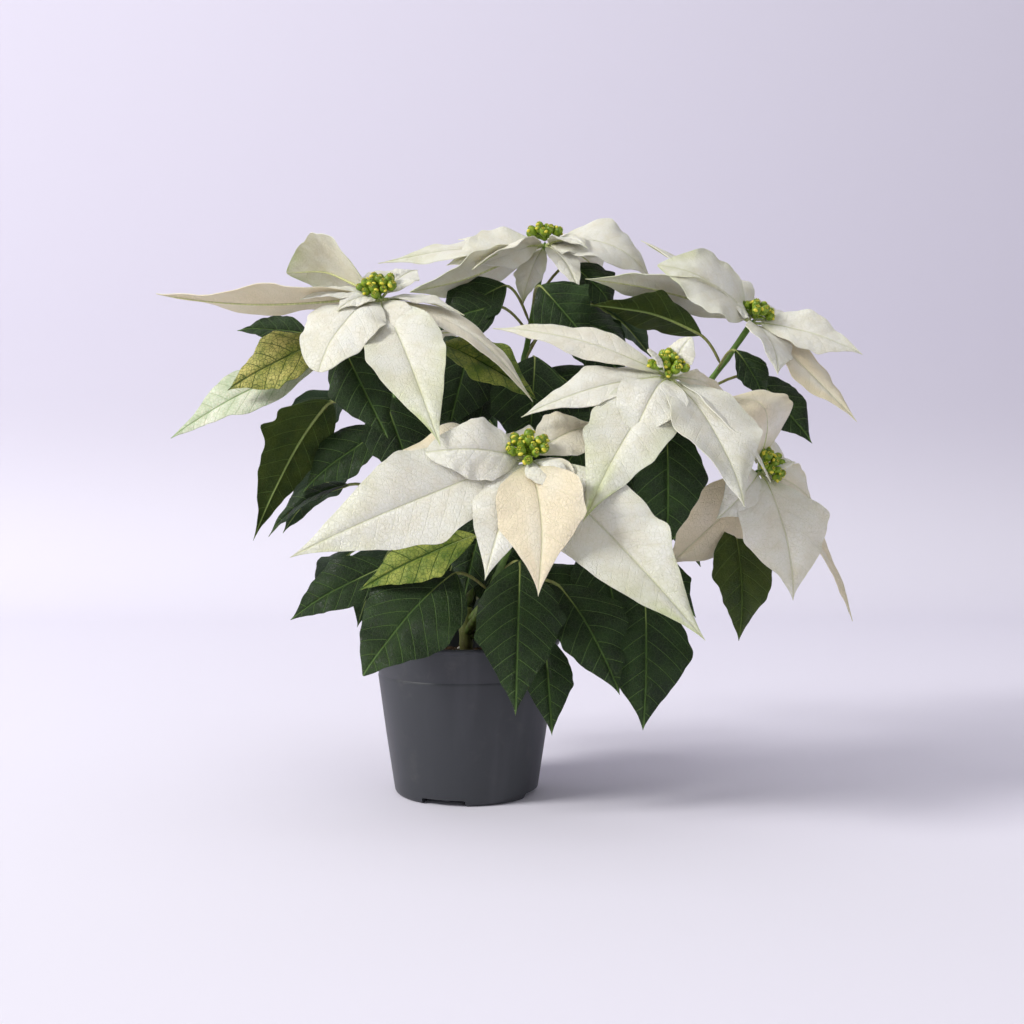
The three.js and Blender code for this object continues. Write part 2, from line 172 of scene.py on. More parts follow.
pot_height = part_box("pot")[1][2]
rim_radius = 61.2
base_radius = 47.0
band_depth = 22
band_foot = pot_height / MM - band_depth
wall_lean = 0.137  # outwards for each millimetre of height
wall = 1.6
foot_in = base_radius - 9
floor_rise = 4.0
pot_outline = [
    (0, 0), (11.6, 0), (12, 0.4), (12, floor_rise), (foot_in, floor_rise), (foot_in, 0.3),
    (foot_in + 0.3, 0), (base_radius - 3.2, 0), (base_radius - 1.9, 0.4), (base_radius - 0.9, 1.3),
    (base_radius - 0.3, 2.5), (base_radius, 4), (base_radius + wall_lean * 38, 38),
    (base_radius + wall_lean * (band_foot - 1.4), band_foot - 1.4),
    (base_radius + wall_lean * (band_foot - 0.9), band_foot - 0.7), (rim_radius - 4.0, band_foot + 0.5),
    (rim_radius - 3.8, band_foot + 1.1), (rim_radius - 2.3, band_foot + 10), (rim_radius - 0.9, 96.6),
    (rim_radius - 0.15, 97.3), (rim_radius, 98), (rim_radius, 99.2), (rim_radius - 0.3, 99.8),
    (rim_radius - 0.9, 100), (rim_radius - 1.9, 100), (rim_radius - 2.4, 99.7), (rim_radius - 2.6, 99),
    (rim_radius - 3.8 - wall, band_foot + 1.5),
    (base_radius - wall + wall_lean * (band_foot - 1), band_foot - 1),
    (base_radius - wall + 0.3, floor_rise + 2.4), (base_radius - wall - 1.2, floor_rise + wall),
    (0, floor_rise + wall),
]
bm = bmesh.new()
corners = [bm.verts.new((radius * MM, 0, height * MM)) for radius, height in pot_outline]
outline_edges = [bm.edges.new(pair) for pair in zip(corners, corners[1:])]
bmesh.ops.spin(
    bm, geom=corners + outline_edges, cent=(0, 0, 0), axis=(0, 0, 1), angle=math.tau, steps=144,
    use_merge=True,
)
bmesh.ops.remove_doubles(bm, verts=bm.verts, dist=1e-6)
bmesh.ops.recalc_face_normals(bm, faces=bm.faces)
plain_pot = finish_piece(bm, "plain_pot", [])

# The four notches and six drain holes are cut through the moulding.
notch_count, notch_size, notch_place, first_notch = 4, (18, 29, 8), 43, -107
drain_count, drain_radius, drain_place = 6, 3.5, 27
bm = bmesh.new()
for turn in range(notch_count):
    earlier = set(bm.verts)
    notch = bmesh.ops.create_cube(bm, size=1)["verts"]
    bmesh.ops.scale(bm, verts=notch, vec=Vector(notch_size) * MM)
    cube_edges = {edge for vertex in notch for edge in vertex.link_edges}
    long_edges = [e for e in cube_edges if abs(e.verts[0].co.x - e.verts[1].co.x) > 0.01]
    bmesh.ops.bevel(
        bm, geom=long_edges, offset=1.5 * MM, offset_type="OFFSET", segments=3, profile=0.5,
        affect="EDGES", material=-1,
    )
    fresh = [vertex for vertex in bm.verts if vertex not in earlier]
    bmesh.ops.translate(bm, verts=fresh, vec=(notch_place * MM, 0, 0))
    around = math.radians(first_notch + 360 / notch_count * turn)
    bmesh.ops.rotate(bm, verts=fresh, matrix=Matrix.Rotation(around, 3, "Z"))
for turn in range(drain_count):
    hole = bmesh.ops.create_cone(
        bm, cap_ends=True, segments=20, radius1=drain_radius * MM, radius2=drain_radius * MM, depth=16 * MM
    )["verts"]
    bmesh.ops.translate(bm, verts=hole, vec=(drain_place * MM, 0, floor_rise * MM))
    bmesh.ops.rotate(bm, verts=hole, matrix=Matrix.Rotation(math.tau * turn / drain_count, 3, "Z"))
cutters = finish_piece(bm, "cutters", [])
cut = plain_pot.modifiers.new("cut", "BOOLEAN")
cut.object = cutters
cut.solver = "EXACT"
cut_mesh = bpy.data.meshes.new_from_object(plain_pot.evaluated_get(bpy.context.evaluated_depsgraph_get()))
bm = bmesh.new()
bm.from_mesh(cut_mesh)
bpy.data.objects.remove(plain_pot)
bpy.data.objects.remove(cutters)
finish_piece(bm, "nursery_pot", [pot_plastic()], ["pot"], "pot_plastic", sharp=32)

# ---------------------------------------------------------------------------------------------
# Compost. Damp peat with fibres, bark crumbs and a few white perlite grains, a little below the
# rim and slightly crowned round the stem.
# ---------------------------------------------------------------------------------------------


def compost_material(name, dark, light, bump_depth):
    material, tree, shader = new_material(name, {"Roughness": 0.95, "Specular IOR Level": 0.2})
    lumps = object_noise(tree, 260, 6, 0.7)
    patches = object_noise(tree, 50, 3)
    colour = blend(tree, ramp(tree, lumps, 0.35, 0.7), dark, light)
    shade = blend(tree, ramp(tree, patches, 0.3, 0.7, 0, 0.6), colour, dark)
    tree.links.new(shade, shader.inputs["Base Color"])
    bump(tree, shader, lumps, bump_depth)
    return material


peat = compost_material("peat", (0.012, 0.007, 0.004), (0.065, 0.038, 0.02), 0.001)
bark = compost_material("bark_crumb", (0.03, 0.016, 0.008), (0.12, 0.07, 0.035), 0.0006)
perlite = compost_material("perlite", (0.5, 0.48, 0.44), (0.75, 0.73, 0.69), 0.0003)
bm = bmesh.new()
compost_outline = [(0, 6.4), (44, 6.4), (55, 76), (55.6, 85), (52, 87.4)]
compost_edge, compost_brim, compost_crown = 52, 88, 2
for radius in range(50, -1, -2):
    rise = compost_crown * (1 - (radius / compost_edge) ** 2)
    compost_outline.append((radius, compost_brim + rise))
corners = [bm.verts.new((radius * MM, 0, height * MM)) for radius, height in compost_outline]
outline_edges = [bm.edges.new(pair) for pair in zip(corners, corners[1:])]
bmesh.ops.spin(
    bm, geom=corners + outline_edges, cent=(0, 0, 0), axis=(0, 0, 1), angle=math.tau, steps=96,
    use_merge=True,
)
bmesh.ops.remove_doubles(bm, verts=bm.verts, dist=1e-6)
bmesh.ops.recalc_face_normals(bm, faces=bm.faces)
for vertex in bm.verts:
    radius = math.hypot(vertex.co.x, vertex.co.y)
    if vertex.co.z > 86 * MM and radius < 51 * MM:
        rough = noise.noise(vertex.co * 130) + 0.6 * noise.noise(vertex.co * 330)
        vertex.co.z += 1.1 * MM * rough - 0.6 * MM
finish_piece(bm, "compost_bed", [peat], ["compost"], "compost")

dice = random.Random(4)
for name, material, count, least, most in (
    ("compost_crumbs", bark, 260, 0.8, 2.6),
    ("perlite_grains", perlite, 34, 0.7, 1.7),
):
    bm = bmesh.new()
    for _ in range(count):
        size = dice.uniform(least, most) * MM
        grain = bmesh.ops.create_icosphere(bm, subdivisions=1, radius=size)["verts"]
        for vertex in grain:
            vertex.co *= 1 + 0.3 * dice.uniform(-1, 1)
        squash = (dice.uniform(0.6, 1.4), dice.uniform(0.6, 1.2), dice.uniform(0.4, 0.8))
        bmesh.ops.scale(bm, verts=grain, vec=squash)
        reach = 50 * MM * math.sqrt(dice.uniform(0.02, 1))
        around = dice.uniform(0, math.tau)
        bmesh.ops.rotate(bm, verts=grain, matrix=Matrix.Rotation(around, 3, "Z"))
        height = compost_brim * MM + compost_crown * MM * (1 - (reach / (compost_edge * MM)) ** 2)
        where = (reach * math.cos(around), reach * math.sin(around), height)
        bmesh.ops.translate(bm, verts=grain, vec=where)
    finish_piece(bm, name, [material], slot="compost", sharp=20)

# ---------------------------------------------------------------------------------------------
# Stems. One woody green main stem was cut off short above the compost, and eight softer branches
# grew from just under the cut. Each is a tapered shoot with swollen rings where leaves left it.
# ---------------------------------------------------------------------------------------------


def lay_tube(bm, points, radii, sides, skin=0):
    """A closed tube through points given in millimetres, swept from a wrapped grid."""
    steps = len(points) - 1
    along = bm.verts.layers.float.get("along") or bm.verts.layers.float.new("along")
    made = bmesh.ops.create_grid(bm, x_segments=steps, y_segments=sides, size=0.5)["verts"]
    frames = []
    across = None
    for i in range(steps + 1):
        tangent = (points[min(i + 1, steps)] - points[max(i - 1, 0)]).normalized()
        if across is None:
            across = tangent.orthogonal().normalized()
        across = (across - tangent * across.dot(tangent)).normalized()
        frames.append((across, tangent.cross(across)))
    for vertex in made:
        i = round((vertex.co.x + 0.5) * steps)
        angle = (vertex.co.y + 0.5) * math.tau
        u, v = frames[i]
        radius = 0 if i in (0, steps) else radii[i]
        vertex.co = (points[i] + (u * math.cos(angle) + v * math.sin(angle)) * radius) * MM
        vertex[along] = i / steps
    faces = {face for vertex in made for face in vertex.link_faces}
    for face in faces:
        face.material_index = skin
    bmesh.ops.remove_doubles(bm, verts=made, dist=1e-6)
    kept = [face for face in bm.faces if face in faces]
    bmesh.ops.recalc_face_normals(bm, faces=kept)


def curve_points(start, bend, end, count):
    """Points along a quadratic curve that leaves start for bend and arrives at end."""
    shares = [i / (count - 1) for i in range(count)]
    return [start * (1 - t) ** 2 + bend * 2 * t * (1 - t) + end * t * t for t in shares]


def stem_material(name, low, high):
    """Green skin, browner towards the foot, with fine lengthwise lines and pale corky dots."""
    material, tree, shader = new_material(name, {"Roughness": 0.5, "IOR": 1.4})
    height = node(tree, "ShaderNodeAttribute", attribute_name="along").outputs["Fac"]
    fine = object_noise(tree, 700, 4, 0.6, (1, 1, 0.2))
    dots = ramp(tree, object_noise(tree, 900, 2), 0.66, 0.72)
    young = blend(tree, ramp(tree, height, 0.0, 0.7), low, high)
    lined = blend(tree, ramp(tree, fine, 0.35, 0.7, 0.0, 0.45), young, tuple(c * 1.7 for c in high))
    corky = blend(tree, maths(tree, "MULTIPLY", dots, 0.35), lined, (0.35, 0.33, 0.2))
    tree.links.new(corky, shader.inputs["Base Color"])
    bump(tree, shader, fine, 0.0003, 0.6)
    return material


green_stem = stem_material("green_stem", (0.07, 0.075, 0.02), (0.10, 0.19, 0.035))
old_stem = stem_material("old_stem", (0.10, 0.075, 0.035), (0.13, 0.15, 0.04))

stem_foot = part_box("compost")[1][2] / MM
stem_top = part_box("main_stem")[1][2] / MM
bm = bmesh.new()
heights = [stem_foot - 6 + (stem_top - stem_foot + 6) * i / 18 for i in range(19)]
radii = [4.6 - 0.5 * i / 18 + (0.5 if i % 4 == 2 else 0) for i in range(19)]
lay_tube(bm, [Vector((0.3 * math.sin(h / 6), 0, h)) for h in heights], radii, 20)
bmesh.ops.smooth_vert(bm, verts=bm.verts, factor=0.3, use_axis_x=True, use_axis_y=True, use_axis_z=True)
finish_piece(bm, "cut_main_stem", [old_stem], ["main_stem"], "stem")

hub_height = 5.0
# Where each branch leaves the main stem, the point it bends round, its head and the way that looks.
shoots = [
    (112, (-48, -22, 190), (-52, -40, 318), (-0.15, -0.6, 0.78)),
    (120, (28, 40, 220), (53, 60, 370), (0, -0.15, 1)),
    (106, (120, 10, 205), (193, 30, 312), (0.45, -0.2, 0.87)),
    (110, (70, -40, 180), (124, -70, 267), (0.1, -0.6, 0.78)),
    (103, (30, -58, 150), (39, -100, 217), (-0.05, -0.7, 0.7)),
    (100, (105, -25, 140), (186, -40, 210), (0.7, -0.45, 0.5)),
    (108, (-45, 50, 170), (-60, 105, 300), (-0.3, 0.6, 0.75)),
    (101, (60, 70, 150), (100, 125, 240), (0.35, 0.75, 0.55)),
]
branch_curves = []
for number, (start, bend, head, look) in enumerate(shoots, 1):
    look = Vector(look).normalized()
    under = Vector(head) - look * (hub_height / 2)
    curve = (Vector((0, 0, start)), Vector(bend), under)
    branch_curves.append(curve)
    points = curve_points(*curve, 44) + [under + look * 3.4]
    radii = [
        3.0 - 0.9 * min(1, i / 30) + (0.45 if i % 7 == 3 else 0.12 * math.sin(i * 1.7)) for i in range(45)
    ]
    bm = bmesh.new()
    lay_tube(bm, points, radii, 14)
    finish_piece(bm, f"shoot_{number}", [green_stem], [f"branch_{number}"], "stem")

# ---------------------------------------------------------------------------------------------
# Bracts. The white "petals" are thin coloured leaves in a whorl round each flower cluster. Each
# is one soft blade, quilted between its veins, with a raised rib and a short stalk underneath.
# ---------------------------------------------------------------------------------------------
# How far a side vein runs on towards the tip on its way out to the edge, and how it curves.
vein_lean = 0.62
vein_curve = 0.9


def lay_blade(bm, foot, tip, width, look, form, seed):
    """A blade on a grid, in millimetres: gives the function that places a point of its surface."""
    bow, turn, fold = form["bow"], form["turn"], form["fold"]
    length = (tip - foot).length
    along = (tip - foot) / length
    up = (look - along * look.dot(along)).normalized()
    up.rotate(Quaternion(along, math.radians(turn)))
    side = up.cross(along)
    chance = random.Random(seed)
    power = math.log(0.5) / math.log(form.get("widest", 0.42))
    left, right = chance.uniform(0.92, 1.06), chance.uniform(0.92, 1.06)
    waves = [(chance.uniform(1.4, 2.6), chance.uniform(0, math.tau)) for _ in range(2)]
    small = [(chance.uniform(4.0, 6.0), chance.uniform(0, math.tau)) for _ in range(2)]
    shift = Vector((chance.uniform(0, 50), chance.uniform(0, 50), 0))
    veins = max(6, round(length / 11))
    ripple = 0.045 * width
    pucker, groove = form.get("pucker", 0.55), form.get("groove", 0.7)
    sweep, cup, droop = form.get("sweep", 0), form.get("cup", 0.0), form["droop"]
    lobes = form.get("lobes") or [
        (chance.uniform(0.3, 0.62), which, chance.uniform(0.01, 0.055) * width) for which in (-1, 1, -1, 1)
    ]
    teeth = form.get("teeth", 0.012)

    def half_width(k, s):
        if k <= 0 or k >= 1:
            return 0.0
        reach = width / 2 * math.sin(math.pi * k**power) ** (1.05 + 0.35 * k * form.get("point", 1))
        reach *= left if s < 0 else right
        edge = teeth * width * noise.noise(Vector((k * 14, 3 if s < 0 else 9, seed % 97)))
        for where, which, size in lobes:
            if which * s > 0:
                reach += size * math.exp(-(((k - where) / 0.05) ** 2))
        return max(0.0, reach + edge * math.sin(math.pi * k))

    def surface(k, s):
        across = s * half_width(k, s if s else 1)
        a = abs(across) / length
        hump = math.sin(math.pi * min(1, max(0, k)))
        phase = veins * (k - vein_lean * a - vein_curve * a * a) + (0.35 if s < 0 else 0)
        height = bow * 4 * k * (1 - k)
        height += abs(across) * math.sin(math.radians(fold)) - droop * s * s * hump - cup * (1 - s * s) * hump
        quilt = abs(math.sin(math.pi * phase)) ** 0.7 * min(1, abs(s) * 4) * (1 - 0.6 * abs(s))
        height += pucker * quilt * min(1, hump * 2)
        frequency, phase_off = waves[s < 0]
        height += ripple * abs(s) ** 2.2 * math.sin(math.tau * frequency * k + phase_off) * hump
        frequency, phase_off = small[s < 0]
        height += 0.3 * ripple * abs(s) ** 3 * math.sin(math.tau * frequency * k + phase_off) * hump
        height += 0.05 * width * noise.noise(Vector((k * 2.2, s * 1.1, 0)) + shift) * hump
        height -= groove * math.exp(-((across / 1.3) ** 2)) * hump
        sideways = across * math.cos(math.radians(fold)) + sweep * 4 * k * (1 - k)
        return foot + along * (length * k) + side * sideways + up * height, across, phase

    blade_layer = bm.loops.layers.uv.get("blade") or bm.loops.layers.uv.new("blade")
    layers = {key: bm.verts.layers.float.new(key) for key in ("vein", "cream", "green", "share")}
    long, wide = form.get("long", 52), form.get("wide", 18)
    grid = bmesh.ops.create_grid(bm, x_segments=long, y_segments=wide, size=0.5)["verts"]
    flat_place = {}
    for vertex in grid:
        k = vertex.co.x + 0.5
        t = round(vertex.co.y * 2, 6)
        s = math.copysign(abs(t) ** 1.35, t) if t else 0.0
        place, across, phase = surface(min(max(k, 0.004), 0.996), s)
        patch = noise.noise(Vector((k * 3, s * 1.5, 5)) + shift)
        edge = abs(s) ** 3
        vertex[layers["vein"]] = phase
        vertex[layers["share"]] = k
        # Cream amount: partly the blade's own cream tint, partly painted shade on bracts that stand in
        # shadow.
        vertex[layers["cream"]] = min(1, max(0, form.get("cream", 0.15) * (1 + 0.7 * patch)))
        tip_green = form.get("green", 0.12) * (0.06 + 1.0 * max(0, (k - 0.5) / 0.5) ** 1.6 + 0.35 * edge)
        vertex[layers["green"]] = min(1, max(0, tip_green * (1 + 1.1 * patch)))
        flat_place[vertex] = (k * length / 100, across / 100)
        vertex.co = place * MM
    for vertex in grid:
        for loop in vertex.link_loops:
            loop[blade_layer].uv = flat_place[vertex]
    upper = list({face for vertex in grid for face in vertex.link_faces})
    geometry = upper + grid + list({edge for face in upper for edge in face.edges})
    copied = bmesh.ops.duplicate(bm, geom=geometry)
    lower = [part for part in copied["geom"] if isinstance(part, bmesh.types.BMFace)]
    lower_verts = [part for part in copied["geom"] if isinstance(part, bmesh.types.BMVert)]
    bmesh.ops.translate(bm, verts=lower_verts, vec=up * (-form.get("thickness", 0.5) * MM))
    bmesh.ops.reverse_faces(bm, faces=lower)
    bmesh.ops.bridge_loops(bm, edges=[edge for edge in bm.edges if edge.is_boundary])
    for face in lower:
        face.material_index = 1
    return surface


def grow_piece(name, materials, start, elbow, foot, tip, width, look, form, seed, stalk_radius, **labels):
    """One bract or leaf: its blade, and its stalk that runs on as the rib under the blade."""
    bm = bmesh.new()
    surface = lay_blade(bm, foot, tip, width, look, form, seed)
    length = (tip - foot).length
    along = (tip - foot) / length
    up = (look - along * look.dot(along)).normalized()
    up.rotate(Quaternion(along, math.radians(form["turn"])))
    depth = form.get("thickness", 0.5) + 0.25 * stalk_radius
    rib = [surface(k, 0)[0] - up * depth for k in (0.06 + 0.9 * i / 16 for i in range(17))]
    stalk = curve_points(start, elbow, rib[0], 9)[:-1]
    points = stalk + rib
    radii = [stalk_radius] * len(stalk) + [stalk_radius * (1 - 0.8 * i / 16) for i in range(17)]
    lay_tube(bm, points, radii, 8, skin=2)
    return finish_piece(bm, name, materials, **labels)


def vein_masks(tree, vein_width, rib_width):
    """How much a point of a blade lies on a side vein, on the middle rib, and on the fine net."""
    phase = node(tree, "ShaderNodeAttribute", attribute_name="vein").outputs["Fac"]
    nearest = maths(tree, "ABSOLUTE", maths(tree, "SUBTRACT", maths(tree, "FRACT", phase), 0.5))
    side_vein = ramp(tree, nearest, 0.5 - vein_width, 0.5)
    blade_map = node(tree, "ShaderNodeUVMap", uv_map="blade").outputs[0]
    split = node(tree, "ShaderNodeSeparateXYZ", {"Vector": blade_map})
    rib = ramp(tree, maths(tree, "ABSOLUTE", split.outputs["Y"]), rib_width, 0.25 * rib_width)
    wobble = node(tree, "ShaderNodeTexNoise", {"Vector": blade_map, "Scale": 30.0}).outputs["Color"]
    bent = node(tree, "ShaderNodeMix", data_type="VECTOR")
    bent.inputs[0].default_value = 0.02
    tree.links.new(blade_map, bent.inputs[4])
    tree.links.new(wobble, bent.inputs[5])
    net_sockets = {"Vector": bent.outputs[1], "Scale": 42.0}
    cells = node(tree, "ShaderNodeTexVoronoi", net_sockets, feature="DISTANCE_TO_EDGE").outputs["Distance"]
    net = ramp(tree, cells, 0.10, 0.0)
    fine_sockets = {"Vector": bent.outputs[1], "Scale": 110.0}
    fine_cells = node(tree, "ShaderNodeTexVoronoi", fine_sockets, feature="DISTANCE_TO_EDGE")
    fine = ramp(tree, fine_cells.outputs["Distance"], 0.14, 0.0)
    return side_vein, rib, net, fine


def attribute(tree, name):
    return node(tree, "ShaderNodeAttribute", attribute_name=name).outputs["Fac"]


def bract_skin(name, white, cream, green, vein, relief, subsurface):
    """Cream-white velvet, greener at the tips and along the veins, with a fine embossed net. The cream is
    partly the bracts' own tint and partly painted shade.
    """
    sockets = {
        "Roughness": 0.55, "IOR": 1.38, "Subsurface Weight": subsurface, "Subsurface Scale": 0.0015,
        "Subsurface Radius": (1.0, 0.9, 0.55), "Sheen Weight": 0.12, "Sheen Roughness": 0.4,
    }
    material, tree, shader = new_material(name, sockets)
    side_vein, rib, net, fine = vein_masks(tree, 0.06, 0.008)
    mottle = object_noise(tree, 90, 4)
    # Painted shade: the cream blend also gives bracts that stand in shadow their warm beige.
    body = blend(tree, attribute(tree, "cream"), white, cream)
    cloudy = blend(tree, ramp(tree, mottle, 0.35, 0.75, 0.0, 0.35), body, tuple(c * 0.86 for c in cream))
    tinge = maths(tree, "MULTIPLY", attribute(tree, "green"), ramp(tree, mottle, 0.2, 0.8, 0.5, 1.2))
    tinged = blend(tree, tinge, cloudy, green)
    faint = ramp(tree, mottle, 0.3, 0.7, 0.04, 0.24)
    faint_vein = maths(tree, "MULTIPLY", side_vein, faint)
    lines = maths(tree, "MAXIMUM", faint_vein, maths(tree, "MULTIPLY", rib, 0.5))
    lines = maths(tree, "MAXIMUM", lines, maths(tree, "MULTIPLY", net, 0.16))
    veined = blend(tree, lines, tinged, vein)
    foot = ramp(tree, attribute(tree, "share"), 0.22, 0.0, 0.0, 0.45)
    tree.links.new(blend(tree, foot, veined, vein), shader.inputs["Base Color"])
    ridges = maths(tree, "ADD", maths(tree, "MULTIPLY", net, 0.7), maths(tree, "MULTIPLY", fine, 0.4))
    ridges = maths(tree, "ADD", ridges, maths(tree, "ADD", maths(tree, "MULTIPLY", side_vein, 0.45), rib))
    bump(tree, shader, ridges, relief, 0.7)
    return material


# Each skin's second colour, its cream, is partly the bracts' own tint and partly a painted warm shade.
bract_upper = bract_skin(
    "bract_upper", (0.91, 0.915, 0.84), (0.88, 0.77, 0.56), (0.46, 0.57, 0.17), (0.66, 0.68, 0.40),
    -0.0006, 0.12,
)
bract_under = bract_skin(
    "bract_under", (0.88, 0.88, 0.76), (0.84, 0.72, 0.50), (0.42, 0.54, 0.18), (0.54, 0.58, 0.28),
    0.0007, 0.15,
)
bract_stalk = stem_material("bract_stalk", (0.30, 0.36, 0.12), (0.50, 0.52, 0.24))

# A bract's row: its tip measured from the middle of its head, its width, the bow of its rib, its
# turn about the rib, its fold, and what else is particular to it.
# A cream amount in a row is partly the bract's own tint and partly painted shade where the bract stands in
# shadow.
whorls = [
    [
        ((-140, 0, 2), 46, -5, 52, 10, {"cream": 0.8, "green": 0.05}),
        ((-66, 45, 22), 70, 8, 75, 5, {"green": 0.5, "point": -0.6}),
        ((-48, -15, -4), 16, 4, 0, 10, {}),
        ((-24, -22, -12), 22, 4, 0, 10, {}),
        ((-32, -45, -51), 52, 8, 0, 8, {"cup": -3, "point": -1.6, "widest": 0.5}),
        ((11, -40, -42), 32, 6, 0, 10, {"point": -1.2, "cream": 0.3}),
        ((42, -80, -96), 48, 12, 0, 12, {"green": 0.6}),
        ((95, -20, -67), 27, 14, -20, 8, {"cream": 0.5}),
        ((53, -10, -13), 20, 4, -20, 10, {}),
        ((-6, 25, 20), 24, 4, 0, 5, {}),
        ((22, 22, 20), 28, 4, 0, 5, {}),
    ],
    [
        ((-68, -20, -19), 44, 5, -40, 8, {}),
        ((-62, 30, 8), 38, 3, -10, 5, {}),
        ((-116, -10, -16), 42, 2, -20, 8, {"green": 0.35}),
        ((-92, -38, -40), 52, -4, 38, 8, {"green": 0.4, "point": 0}),
        ((76, 0, -30), 50, 19, 35, 8, {}),
        ((41, -20, -16), 28, 6, 30, 8, {}),
        ((22, -40, -41), 22, 6, 0, 10, {}),
        ((-30, 70, -14), 42, 8, 0, 8, {}),
        ((45, 70, -14), 42, 8, 0, 8, {}),
        ((-50, -44, -26), 40, 5, 15, 8, {"cream": 0.3}),
        ((-16, -12, -46), 26, 4, 0, 8, {"green": 0.5}),
        ((66, 34, -4), 44, 8, 10, 8, {}),
        ((28, -34, -10), 26, 5, 0, 8, {}),
    ],
    [
        ((-75, 10, 56), 32, 4, -10, 8, {}),
        ((-67, -20, 34), 58, 10, -38, 8, {"green": 0.35, "point": -0.6}),
        ((-38, 30, 45), 56, 6, -20, 5, {"green": 0.4, "point": -1}),
        ((-20, -12, 9), 22, 4, -20, 5, {}),
        ((72, -10, -24), 38, 5, 40, 8, {}),
        ((63, -30, -70), 36, 2, 25, 8, {"cream": 0.8}),
        ((9, -40, -40), 40, 6, 0, 8, {}),
        ((-115, -20, 25), 42, 6, 38, 8, {"green": 0.4}),
        ((30, 60, 10), 40, 8, 0, 8, {}),
        ((-25, 70, 30), 40, 8, 0, 8, {}),
    ],
    [
        ((-106, 20, 30), 30, 8, -5, 8, {"cream": 0.3}),
        ((-89, -25, -27), 32, 6, 0, 8, {}),
        ((-55, -65, -87), 50, 12, 0, 10, {"green": 0.8}),
        ((-25, -40, -39), 44, 8, 0, 10, {"point": -1, "widest": 0.5}),
        ((37, -50, -79), 58, 10, -10, 12, {"green": 0.25}),
        ((56, -30, -65), 28, 8, -30, 8, {}),
        ((39, 10, -14), 22, 4, 0, 8, {"cream": 0.7}),
        ((-14, -14, 13), 18, 3, 0, -10, {"point": -1}),
        ((13, -4, 22), 19, 3, 0, -10, {"point": -1}),
        ((-30, 60, 0), 40, 8, 0, 8, {}),
        ((25, 62, -5), 40, 8, 0, 8, {}),
    ],
    [
        ((-133, -30, -57), 54, 8, -25, 10, {"green": 0.3}),
        ((-58, -15, 2), 38, 6, -25, 8, {"point": -1.2, "cup": -2}),
        ((-91, 30, -6), 40, 10, -10, 8, {"cream": 1.0}),
        ((-24, -40, -69), 38, 8, 0, 10, {}),
        ((5, -50, -77), 52, 12, 15, 14, {"cream": 1.0, "green": 0, "sweep": 8}),
        ((20, -30, -22), 22, 4, 0, 8, {}),
        ((96, -50, -101), 54, 12, 15, 12, {"green": 0.5}),
        ((44, 30, 20), 34, 6, 10, 8, {"cream": 0.6}),
        ((30, -22, -30), 26, 4, 20, 8, {"cream": 0.4}),
        ((-20, 40, 10), 34, 6, 0, 8, {}),
    ],
    [
        ((-31, 8, 43), 60, 30, -20, 5, {"cream": 0.8}),
        ((13, -32, -79), 62, 10, 35, 8, {"cream": 0.3}),
        ((60, 10, -96), 26, 8, 0, 8, {"cream": 1.0}),
        ((-57, 20, -61), 54, 6, 15, 8, {"cream": 1.0}),
        ((-34, -35, -30), 34, 6, 0, 8, {}),
        ((20, -5, 5), 12, 2, 0, 0, {}),
        ((36, 15, -22), 32, 5, 20, 5, {"cream": 0.5}),
        ((25, 60, 5), 38, 8, 0, 8, {}),
    ],
    [
        ((-80, 40, 10), 44, 8, 0, 8, {}),
        ((-22, 80, -40), 44, 8, 0, 8, {"green": 0.4}),
        ((28, 78, -45), 46, 8, 0, 8, {}),
        ((62, 45, -35), 42, 8, 0, 8, {"cream": 0.4}),
        ((55, -5, 12), 36, 6, 0, 8, {}),
        ((-35, 5, 26), 30, 6, 0, 8, {}),
        ((8, -10, 26), 30, 6, 0, 8, {}),
    ],
    [
        ((-60, 40, -30), 42, 8, 0, 8, {}),
        ((-20, 70, -70), 46, 8, 0, 8, {"green": 0.5}),
        ((30, 75, -70), 44, 8, 0, 8, {}),
        ((82, 35, -45), 46, 8, 0, 8, {"cream": 0.4}),
        ((60, -10, -5), 36, 6, 0, 8, {}),
        ((2, -5, 34), 30, 6, 0, 8, {}),
        ((-42, -5, 18), 30, 6, 0, 8, {}),
    ],
]
for number, (whorl, (_, _, head, look)) in enumerate(zip(whorls, shoots), 1):
    head, look = Vector(head), Vector(look).normalized()
    for order, (reach, width, bow, turn, fold, special) in enumerate(whorl, 1):
        reach = Vector(reach)
        foot = head + reach * (5 / reach.length)
        form = {"bow": bow, "turn": turn, "fold": fold, "droop": 0.06 * width, **special}
        grow_piece(
            f"bract_{number}_{order}", [bract_upper, bract_under, bract_stalk],
            head - look * 2.2, head + reach * (2 / reach.length) - look * 1.2, foot, head + reach,
            width, look, form, 100 * number + order, 0.95, replaced=[f"bracts_{number}"], slot="bract",
        )

# ---------------------------------------------------------------------------------------------
# Flower clusters. In the middle of each whorl sit a dozen or more small green cups on stubby
# stalks, each with a yellow nectar gland on its side and a tuft of pollen tips in its mouth.
# ---------------------------------------------------------------------------------------------


def flower_skin(name, low, high, sheen_scale):
    material, tree, shader = new_material(name, {"Roughness": 0.38, "IOR": 1.42, "Subsurface Weight": 0.1})
    shader.inputs["Subsurface Scale"].default_value = 0.001
    grain = object_noise(tree, sheen_scale, 4)
    tree.links.new(blend(tree, ramp(tree, grain, 0.3, 0.7), low, high), shader.inputs["Base Color"])
    bump(tree, shader, grain, 0.0003, 0.5)
    return material


cup_green = flower_skin("cup_green", (0.09, 0.17, 0.012), (0.30, 0.42, 0.03), 420)
gland_yellow = flower_skin("gland_yellow", (0.62, 0.55, 0.03), (0.78, 0.72, 0.10), 900)
pollen_tip = flower_skin("pollen_tip", (0.62, 0.52, 0.06), (0.40, 0.42, 0.04), 900)
cup_outline = [
    (0, 0), (1.0, 0.1), (1.9, 1.2), (2.45, 2.8), (2.4, 4.4), (1.85, 5.5), (1.45, 5.9), (1.1, 5.5), (0, 5.0),
]


